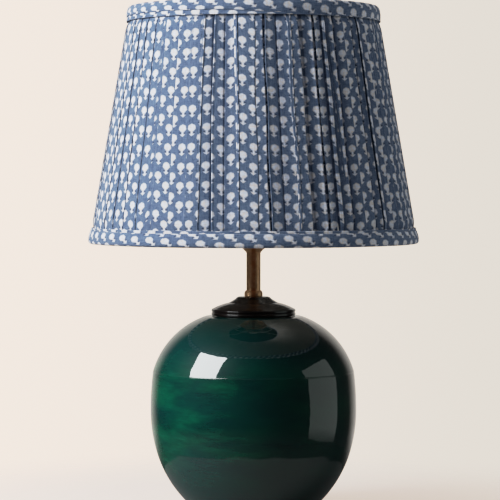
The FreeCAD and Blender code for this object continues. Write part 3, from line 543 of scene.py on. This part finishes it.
def cotton(name, across=False, lean=0.0, stretch=(1.0, 1.0), paint_fold_shade=False):
    """Blue cotton with the flower print. The UV map is the flat cloth in metres. across lays
    the columns along U; lean turns each flower and stretch widens it, as bias-cut cloth does.
    When asked for, painted shade darkens the cloth where the mesh's hollow attribute says it lies
    down in a fold."""
    look = Look(name)
    u, v, _ = look.split(look.node("UVMap", uv_map="cloth").outputs[0])
    if across:
        u, v = v, look.math("MULTIPLY", u, -1.0)
    flat = look.join(u, v)
    printed, accent = flower_print(look, u, v, lean, stretch)
    warp = look.noise(look.stretch(flat, (1.0, 0.06, 1)), 1600, 2, 0.6)
    weft = look.noise(look.stretch(flat, (0.06, 1.0, 1)), 1600, 2, 0.6)
    thread = look.math("ADD", look.math("MULTIPLY", warp, 0.5), look.math("MULTIPLY", weft, 0.5))
    wash = look.noise(look.stretch(flat, (1.0, 0.45, 1)), 420, 5, 0.75)
    blue = look.mix(look.between(wash, 0.32, 0.68), COTTON_DEEP, COTTON_PALE)
    blue = look.mix(look.between(thread, 0.40, 0.62, 0, 0.5), blue, COTTON_THREAD)
    blue = look.mix(look.math("MULTIPLY", accent, 0.75), blue, COTTON_ACCENT)
    blotch = look.noise(flat, 300, 3, 0.6)
    cream = look.mix(look.between(blotch, 0.40, 0.62), PRINT_WHITE, PRINT_CREAM)
    cream = look.mix(look.between(thread, 0.42, 0.60, 0.24, 0), cream, COTTON_PALE)
    cloth = look.mix(printed, blue, cream)
    if paint_fold_shade:
        # painted shade: the deeper a point lies in its fold, the darker the cloth is painted
        hollow = look.node("Attribute", attribute_name="hollow").outputs["Fac"]
        cloth = look.mix(look.between(hollow, 0.22, 1.00, 0.0, 0.62), cloth, FOLD_PAINTED_SHADE, "MULTIPLY")
    look.feed("Base Color", cloth)
    look.set(Roughness=0.88, Sheen_Weight=0.25, Sheen_Roughness=0.45, Specular_IOR_Level=0.25)
    crease = look.noise(look.stretch(flat, (1.0, 0.35, 1)), 120, 4, 0.65)
    threads = look.math("MULTIPLY", weave(look, u, v, COTTON_PITCH), 0.06)
    look.bump(look.math("ADD", threads, crease), 0.0006, 0.7)
    return look.material


def lining_cotton():
    look = Look("lining_cotton")
    u, v, _ = look.split(look.node("UVMap", uv_map="cloth").outputs[0])
    slub = look.noise(look.stretch(look.join(u, v), (0.08, 1.0, 1)), 900, 3, 0.6)
    look.feed("Base Color", look.mix(look.between(slub, 0.35, 0.65), LINING_DARK, LINING_PALE))
    look.set(Roughness=0.9, Sheen_Weight=0.1)
    threads = look.math("MULTIPLY", weave(look, u, v, LINING_PITCH), 0.2)
    look.bump(look.math("ADD", threads, slub), 0.0002, 0.6)
    return look.material


# --- cloth meshes ---------------------------------------------------------------------------

def corner(node):
    """The outer radius, foot and top of a round CAD node that stands on the lamp's axis."""
    low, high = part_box(node)
    return high.y, low.z, high.z


SHADE_R, SHADE_FOOT, _ = corner("trim_lower")
TOP_R, _, SHADE_TOP = corner("trim_upper")
PROUD = 1.2 * MM               # how far the bindings stand out from the gathers
COVER_FOOT_R = SHADE_R - PROUD
COVER_TOP_R = TOP_R - PROUD


def shade_radius(z):
    """Radius of the gathers' outside at a height."""
    share = (z - SHADE_FOOT) / (SHADE_TOP - SHADE_FOOT)
    return COVER_FOOT_R + share * (COVER_TOP_R - COVER_FOOT_R)


def smooth(x):
    x = np.clip(x, 0, 1)
    return x * x * (3 - 2 * x)


def rough(angle, seed, scale):
    """A smooth wander round the shade, from -1 to 1."""
    return noise.noise(Vector((math.cos(angle) * scale, math.sin(angle) * scale, seed)))


def ring(out, angles, z):
    """Points at angles round the lamp, out from its axis."""
    return np.stack([out * np.sin(angles), -out * np.cos(angles), z], axis=1)


def spline(points, samples):
    """Points evenly spread along a Catmull-Rom curve through the given ones."""
    p = np.array(points, float)
    p = np.vstack([2 * p[0] - p[1], p, 2 * p[-1] - p[-2]])
    fine = []
    for i in range(1, len(p) - 2):
        t = np.linspace(0, 1, 8, endpoint=False)[:, None]
        a, b, c, d = p[i - 1], p[i], p[i + 1], p[i + 2]
        fine.append(0.5 * (2 * b + (c - a) * t + (2 * a - 5 * b + 4 * c - d) * t ** 2
                           + (3 * b - a - 3 * c + d) * t ** 3))
    fine = np.vstack(fine + [p[-2][None]])
    along = run_of(fine)
    want = np.linspace(0, along[-1], samples)
    return np.stack([np.interp(want, along, fine[:, k]) for k in (0, 1)], axis=1)


def run_of(points):
    """How far along a line each of its points lies."""
    return np.concatenate([[0], np.cumsum(np.linalg.norm(np.diff(points, axis=0), axis=1))])


def corners_of_quads(rows, cols, wraps):
    """The four corners of each quad in a grid, as numbers of points."""
    row = np.arange(rows - 1)[:, None] * cols
    here = np.arange(cols if wraps else cols - 1)[None, :]
    there = (here + 1) % cols
    return np.stack([row + here, row + there, row + cols + there, row + cols + here], axis=-1)


def grid_piece(name, points, cloth, material, body, replaces=()):
    """A quad mesh through rows x columns of points that closes on itself round the lamp.
    cloth has one column more than points, so that the UV map doesn't jump at the seam."""
    rows, cols = points.shape[:2]
    quads = corners_of_quads(rows, cols, wraps=True).reshape(-1, 4)
    mesh = bpy.data.meshes.new(name)
    mesh.from_pydata(points.reshape(-1, 3).tolist(), [], quads.tolist())
    flat = corners_of_quads(rows, cols + 1, wraps=False).reshape(-1)
    uv = cloth.reshape(-1, 2)[flat].astype(np.float32)
    mesh.uv_layers.new(name="cloth").data.foreach_set("uv", uv.reshape(-1))
    mesh.polygons.foreach_set("use_smooth", [True] * len(mesh.polygons))
    mesh.materials.append(material)
    mesh.update()
    piece = bpy.data.objects.new(name, mesh)
    bpy.context.scene.collection.objects.link(piece)
    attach(piece, body)
    if replaces:
        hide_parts(*replaces)
    return piece


# --- the gathered cover ---------------------------------------------------------------------

SEED = 58
PLEATS = 76
DEPTH = 2.9 * MM               # from a pleat's face to the bottom of a fold
SHALLOW = 1.9 * MM             # the same, for the flat gathers on the left of the front
ROWS = 70
PER_PLEAT = 26                 # points across a pleat, counting both its ends
BINDING_HIGH = 16.6 * MM
TUCK = 5.0 * MM                # how far the cover goes on behind a binding
COVER_FOOT = SHADE_FOOT + BINDING_HIGH - TUCK
COVER_TOP = SHADE_TOP - BINDING_HIGH + TUCK
KINDS = ("flat", "deep", "sliver")
LIFTS = {"flat": (0.4, 1.0), "deep": (1.3, 2.1), "sliver": (0.3, 0.7)}  # mm
FRONT_LEFT, FRONT = (-1.9, -0.35), (-0.35, 0.10)  # stretches of the shade, as angles
# the chances of each kind, and the widest gap in mm that a deep fold or a sliver may leave
ON_LEFT = (0.80, 0.11, 0.09), 0.0
IN_FRONT = (0.55, 0.30, 0.15), 1.6
ELSEWHERE = (0.14, 0.60, 0.26), 4.2


class Pleat:
    """One fold of the cover: its share of the circle, which way it lies, and its wobble. A flat
    fold lies close on its neighbour, a deep one ends in a dark gap, and a sliver is the narrow
    strip that shows where two deep ones crowd together."""

    def __init__(self, rng, angle):
        on_left = FRONT_LEFT[0] < angle < FRONT_LEFT[1]
        in_front = FRONT[0] <= angle < FRONT[1]
        chances, widest_gap = ON_LEFT if on_left else IN_FRONT if in_front else ELSEWHERE
        kind = rng.choices(KINDS, chances)[0]
        self.share = rng.uniform(0.34, 0.46) if kind == "sliver" else rng.uniform(0.75, 1.40)
        self.lies = rng.choices(("right", "left"), (0.75, 0.25))[0]
        self.gap = rng.uniform(0.3, 1.0) * widest_gap * MM if kind != "flat" else 0.0
        self.lift = rng.uniform(*LIFTS[kind]) * MM
        self.wave = rng.uniform(0.2, 0.8) * MM
        self.period = rng.uniform(0.09, 0.24)
        self.phase = rng.uniform(0, TAU)
        self.floor = self.lift + rng.uniform(0.2, 0.4) * MM if kind == "flat" else DEPTH
        if on_left:
            self.floor = min(self.floor, SHALLOW)
        self.lap = 0.0 if self.gap else 0.7 * MM
        self.full = rng.uniform(1.20, 1.60)
        self.shift = rng.uniform(-2.4, 2.4) * MM

    def outline(self, width, under, height, floor_before):
        """(across, depth) control points of the fold, from deep point to deep point. Its face
        rises to an edge, which turns back under before the next fold begins."""
        before, after = floor_before, self.floor
        if self.lies == "left":
            before, after = after, before
        edge = width + self.lap + self.wave * math.sin(TAU * height / self.period + self.phase)
        lift = self.lift
        if before > 1.9 * MM and width > 8 * MM:
            lift = max(lift, 0.72 * before)
        lift = min(lift, before - 0.3 * MM)
        rise, turn = min(2.4 * MM, 0.27 * width), min(0.7 * MM, 0.10 * width)
        rounded = 0.45 if self.lift > 1.2 * MM else 0.26
        shape = [(0, before), (0.05 * width, 1.02 * lift), (0.35 * width, 0.84 * lift),
                 (0.62 * width, (0.36 + 0.6 * rounded) * lift), (edge - rise, rounded * lift),
                 (edge - turn, 0.0), (edge, 0.30 * MM), (edge - 0.5 * under, 0.35 * after),
                 (edge - under, 0.60 * after), (edge - 0.5 * under, 0.82 * after),
                 (width, after)]
        if self.lies == "left":
            shape = [(width - x, depth) for x, depth in reversed(shape)]
        return shape

    def curve(self, span, taken, height, floor_before):
        """Points across the fold. span is its room round the shade and taken is its cloth."""
        width = span - self.gap
        under = min(max((taken - width) / 2, 0.7 * MM), 0.85 * width)
        shape = self.outline(width, under, height, floor_before)
        if self.gap:
            shape.append((span, DEPTH))
        return spline(shape, PER_PLEAT)


def lean_of(angle, height):
    """How far the gathers lean round the shade at a height, in radians; they lean most to the
    left of the front."""
    off = (angle + 0.55 + math.pi) % TAU - math.pi
    drift = 0.004 * math.sin(3 * angle + 1.3) + 0.003 * math.sin(7 * angle)
    return (0.060 * math.exp(-(off / 0.65) ** 2) + drift) * (1 - height)


def shared_out(pleats):
    """Where the pleats meet, as angles, and how much cloth each takes. The cloth comes to whole
    repeats of the print."""
    total = sum(p.share for p in pleats)
    edges = np.concatenate([[0], np.cumsum([p.share for p in pleats])]) / total * TAU
    middle_r = shade_radius((COVER_FOOT + COVER_TOP) / 2)
    taken = [p.share / total * TAU * middle_r * p.full for p in pleats]
    whole = 2 * COLUMN * MM * round(sum(taken) / (2 * COLUMN * MM))
    return edges, [cloth * whole / sum(taken) for cloth in taken]


def cover_row(pleats, edges, taken, share):
    """One row of points round the cover, and how deep each lies in its fold. share is the
    row's height, from 0 to 1. The bindings pinch the gathers in and flatten them."""
    z = COVER_FOOT + share * (COVER_TOP - COVER_FOOT)
    radius = shade_radius(z)
    held = min(z - (SHADE_FOOT + BINDING_HIGH), (SHADE_TOP - BINDING_HIGH) - z)
    pinch = 1.5 * MM * (1 - smooth((held + 0.5 * MM) / (9 * MM)))
    flatten = 1 - 0.30 * (1 - smooth((held + 1 * MM) / (10 * MM)))
    points, depths = [], []
    for i, pleat in enumerate(pleats):
        start = edges[i] + lean_of(edges[i], share)
        end = edges[i + 1] + lean_of(edges[i + 1], share)
        curve = pleat.curve((end - start) * radius, taken[i], z, pleats[i - 1].floor)[:-1]
        out = radius - pinch - curve[:, 1] * flatten
        points.append(ring(out, start + curve[:, 0] / radius, np.full(len(curve), z)))
        depths.append(curve[:, 1])
    return np.concatenate(points), np.concatenate(depths)


def across_pleats(ends):
    """Even steps from one of the ends to the next, a pleat at a time."""
    steps = [np.linspace(a, b, PER_PLEAT)[:-1] for a, b in zip(ends[:-1], ends[1:])]
    return np.concatenate(steps + [[ends[-1]]])


def gathered_cover(material):
    rng = random.Random(SEED)
    pleats = [Pleat(rng, (TAU * i / PLEATS + math.pi) % TAU - math.pi) for i in range(PLEATS)]
    edges, taken = shared_out(pleats)
    shares = [j / (ROWS - 1) for j in range(ROWS)]
    made = [cover_row(pleats, edges, taken, share) for share in shares]
    points, hollow = (np.array(part) for part in zip(*made))
    slant = math.hypot(1, (COVER_FOOT_R - COVER_TOP_R) / (SHADE_TOP - SHADE_FOOT))
    starts = np.concatenate([[0], np.cumsum(taken)])
    shifts = across_pleats([p.shift for p in pleats] + [pleats[0].shift])
    cloth = np.zeros((ROWS, len(shifts), 2))
    cloth[:, :, 0] = across_pleats(starts)
    cloth[:, :, 1] = (points[:, :1, 2] - COVER_FOOT) * slant + shifts
    piece = grid_piece("gathered_cover", points, cloth, material, "shade",
                       ("shade_cover",))
    # how deep each point lies in its fold, which the cotton paints as shade
    layer = piece.data.attributes.new("hollow", "FLOAT", "POINT")
    layer.data.foreach_set("value", (hollow / DEPTH).astype(np.float32).reshape(-1))
    return piece


# --- the bindings and the lining ------------------------------------------------------------

BAND_STEPS = 360
BAND_DRIFT = 0.055             # how far the print drifts up and down, as a share of the radius
# (in from the rim, out from the gathers' outside) in mm, from the outer edge to the inner one
ROLL = ((12.2, 0.35), (13.6, 0.25), (13.9, 0.75), (12.4, 1.15), (8.6, 1.75), (5.0, 1.70),
        (2.2, 1.15), (0.5, -0.3), (0.0, -2.6), (0.3, -6.0), (1.8, -7.9), (6.0, -8.6),
        (10.5, -8.5), (11.0, -7.8))
STRIP = ((15.6, 0.05), (16.5, 0.05), (16.8, 0.40), (16.0, 0.62), (12.0, 0.40), (5.0, 0.20))
ROLL_HIGH = 13.7 * MM          # how high the roll's outer edge stands over its rim
PRINT_ALONG = -6.9 * MM        # where on the cloth a roll starts
PRINT_DROP = -4.2 * MM         # and how much lower the print lies on the roll at the foot
LINING_ROWS, LINING_COLS = 24, 240
LINING_IN = 7.0 * MM           # from the gathers' outside in to the lining


def band(name, edge, up, outline, material, wobble, replaces=(), along=0.0, drop=0.0):
    """A strip of cloth swept round the shade at the rim at height edge; up is 1 at the foot
    and -1 at the top. wobble(angle, k) moves a point out and up. The print drifts up and down
    the strip as it goes round, as it does on a strip that is cut by eye; along and drop say
    where on the cloth the strip starts."""
    fine = spline([(edge + up * rise * MM, proud * MM) for rise, proud in outline],
                  4 * len(outline))
    angles = np.linspace(0, TAU, BAND_STEPS, endpoint=False)
    lengths = run_of(fine)
    girth = TAU * shade_radius(fine[len(fine) // 2, 0])
    girth = REPEAT * MM * round(girth / (REPEAT * MM))
    drift = BAND_DRIFT * np.sin(np.linspace(0, TAU, BAND_STEPS + 1))
    points = np.zeros((len(fine), BAND_STEPS, 3))
    cloth = np.zeros((len(fine), BAND_STEPS + 1, 2))
    for k, (z, proud) in enumerate(fine):
        shift = np.array([wobble(a, k / (len(fine) - 1)) for a in angles])
        out = shade_radius(z) + proud + shift[:, 0]
        points[k] = ring(out, angles, z + shift[:, 1])
        cloth[k, :, 0] = np.linspace(0, girth, BAND_STEPS + 1) + along
        cloth[k, :, 1] = -up * lengths[k] + drop + drift * out[0]
    piece = grid_piece(name, points, cloth, material, "shade", replaces)
    return piece


def roll(name, edge, up, high, material, cad_node):
    """The padded roll that goes over a rim: from its outer edge, round the rim, to inside.
    high(angle) is how high its outer edge stands over the rim."""

    def wobble(angle, k):
        pucker = (0.30 * MM * rough(angle, 3 + k * 0.8 + edge * 40, 9.0)
                  + 0.18 * MM * rough(angle, k + 9, 34)) * smooth(k * 5)
        raised = up * (high(angle) - ROLL_HIGH) * (1 - smooth(k / 0.42))
        return pucker, raised + up * 0.25 * MM * rough(angle, edge * 90, 6.0) * (1 - k)

    drop = PRINT_DROP if up > 0 else 0.0
    return band(name, edge, up, ROLL, material, wobble, (cad_node,), PRINT_ALONG, drop)


def strip(name, edge, up, material):
    """The flat strip under the roll, which shows along the roll's outer edge."""

    def wobble(angle, k):
        return (0.12 * MM * rough(angle, 5 + edge * 30, 16.0),
                up * 0.15 * MM * rough(angle, edge * 70, 5.0))

    return band(name, edge, up, STRIP, material, wobble)


def even_high(angle):
    return ROLL_HIGH


def upper_high(angle):
    """The upper roll is narrower on the left of the front, where the strip under it shows."""
    off = (angle + math.pi) % TAU - math.pi
    return (11.2 + 5.5 * smooth((off + 0.35) / 0.9) + 5.5 * smooth((-off - 1.5) / 0.9)) * MM


def lining(material):
    """The plain cloth cone inside the frame."""
    low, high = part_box("shade_lining")
    girth = TAU * shade_radius((low.z + high.z) / 2)
    angles = np.linspace(0, TAU, LINING_COLS, endpoint=False)
    points = np.zeros((LINING_ROWS, LINING_COLS, 3))
    cloth = np.zeros((LINING_ROWS, LINING_COLS + 1, 2))
    for j in range(LINING_ROWS):
        z = low.z + j / (LINING_ROWS - 1) * (high.z - low.z)
        ripple = np.array([0.25 * MM * rough(a, z * 9, 11.0) for a in angles])
        points[j] = ring(shade_radius(z) - LINING_IN + ripple, angles, np.full(LINING_COLS, z))
        cloth[j, :, 0] = np.linspace(0, girth, LINING_COLS + 1)
        cloth[j, :, 1] = z - low.z
    piece = grid_piece("lining_cloth", points, cloth, material, "shade",
                       ("shade_lining",))
    return piece


# --- assembly -------------------------------------------------------------------------------

def dress(material, *names):
    """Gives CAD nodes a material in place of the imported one."""
    for name in names:
        materials = NODES[name].data.materials
        materials.clear()
        materials.append(material)


def dress_base():
    dress(glaze(), "ceramic_body")
    dress(lacquer(), "vase_cap")
    dress(felt(), "foot_felt")
    dress(aged_brass(), "neck_tube", "neck_collar", "holder_cup", "holder_shell", "switch_bar",
          "switch_buttons", "shade_ring_lower", "shade_ring_upper", "gimbal_nut")
    dress(plated("zinc_plate", (0.42, 0.42, 0.41), (0.62, 0.62, 0.60), 0.32),
          "threaded_rod", "neck_bridge", "lock_washer", "bridge_nut", "cup_nut", "terminal_screws")
    dress(moulded("black_rubber", (0.012, 0.012, 0.012), (0.026, 0.025, 0.024), 0.7),
          "cord_grommet")
    dress(moulded("pressed_cork", (0.20, 0.12, 0.06), (0.42, 0.28, 0.16), 0.85, 900, 0.0004),
          "cap_gasket")


def dress_holder_and_bulb():
    dress(plated("pressed_brass", (0.62, 0.44, 0.18), (0.80, 0.62, 0.30), 0.25),
          "terminals", "screw_shell", "centre_contact")
    dress(moulded("black_moulding", (0.010, 0.010, 0.010), (0.022, 0.021, 0.020), 0.42),
          "holder_liner", "holder_block", "switch_block", "bulb_insulator")
    dress(plated("nickel", (0.52, 0.50, 0.46), (0.70, 0.68, 0.63), 0.2),
          "bulb_cap", "bulb_supports")
    dress(plated("solder", (0.40, 0.40, 0.40), (0.60, 0.60, 0.60), 0.4), "bulb_tip")
    dress(moulded("phosphor", (0.75, 0.42, 0.06), (0.88, 0.58, 0.12), 0.6), "bulb_filaments")
    dress(bulb_glass(), "bulb_glass", "bulb_stem")


def dress_frame():
    dress(moulded("white_coating", (0.66, 0.64, 0.60), (0.78, 0.76, 0.72), 0.40),
          "carrier_ring", "carrier_arm_left", "carrier_arm_right", "carrier_head", "gimbal_ring",
          "gimbal_arm_left", "gimbal_arm_right", "pivot_socket_left", "pivot_socket_right",
          "frame_ring_lower", "frame_ring_upper", "frame_struts")


def make_shade():
    gathered_cover(cotton("printed_cotton", paint_fold_shade=True))
    bias = cotton("bias_cotton", across=True, lean=math.radians(-48), stretch=(0.80, 1.25))
    strip("lower_strip", SHADE_FOOT, 1, bias)
    roll("lower_roll", SHADE_FOOT, 1, even_high, bias, "trim_lower")
    strip("upper_strip", SHADE_TOP, -1, bias)
    roll("upper_roll", SHADE_TOP, -1, upper_high, bias, "trim_upper")
    lining(lining_cotton())


def build():
    add_camera()
    set_view()
    add_world()
    add_floor()
    for panel in PANELS:
        add_panel(*panel)
    dress_base()
    dress_holder_and_bulb()
    dress_frame()
    make_shade()


build()
